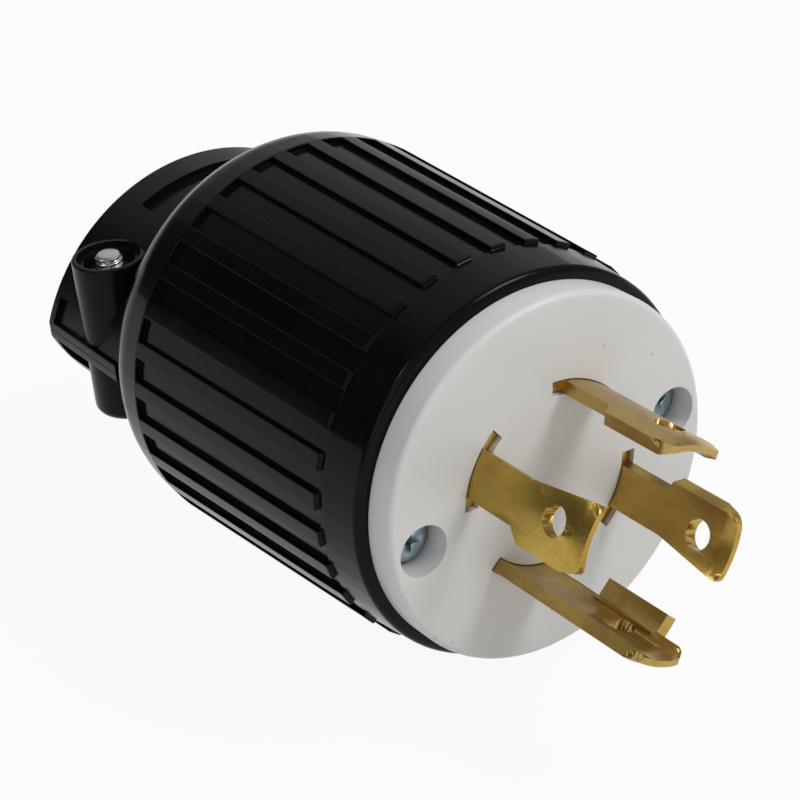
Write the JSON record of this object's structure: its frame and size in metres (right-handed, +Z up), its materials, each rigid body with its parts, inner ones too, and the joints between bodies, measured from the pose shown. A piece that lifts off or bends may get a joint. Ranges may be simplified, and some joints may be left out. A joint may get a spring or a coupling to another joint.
{
  "type": "locking power plug",
  "caption": "Twist-locking power plug with curved brass blades on a white face, a black ribbed barrel and a screwed cord clamp.",
  "frame": {"origin": "centre of the white face, in the plane the blades stand out of", "axes": "+X along the plug axis, out along the blades; +Z up as the plug lies on its ribs"},
  "size_m": [0.11, 0.0588, 0.0588],
  "materials": {
    "housing_black": "moulded glossy black nylon",
    "face_white": "moulded satin white nylon",
    "carrier_cream": "matt",
    "line_1_brass": "stamped, lightly worn",
    "line_2_brass": "stamped, tarnished",
    "neutral_brass": "stamped, tarnished",
    "ground_brass": "stamped, tarnished",
    "yoke_zinc": "zinc plated",
    "terminal_screw_brass": "turned",
    "face_screw_zinc": "zinc plated, bluish",
    "insert_brass": "turned",
    "clamp_upper_black": "moulded glossy black nylon",
    "clamp_lower_black": "moulded glossy black nylon",
    "clamp_screw_zinc": "zinc plated",
    "nut_zinc": "zinc plated"
  },
  "bodies": {
    "root": {"housing": "housing_black", "face_insert": "face_white", "terminal_carrier": "carrier_cream", "line_blade_1": "line_1_brass", "line_blade_2": "line_2_brass", "neutral_blade": "neutral_brass", "ground_blade": "ground_brass", "terminal_clamp_1": "yoke_zinc", "terminal_clamp_2": "yoke_zinc", "terminal_clamp_3": "yoke_zinc", "terminal_clamp_4": "yoke_zinc", "terminal_screws": "terminal_screw_brass", "assembly_screws": "face_screw_zinc", "assembly_inserts": "insert_brass", "clamp_saddle_upper": "clamp_upper_black", "clamp_saddle_lower": "clamp_lower_black", "clamp_screws": "clamp_screw_zinc", "clamp_nuts": "nut_zinc"}
  },
  "joints": []
}
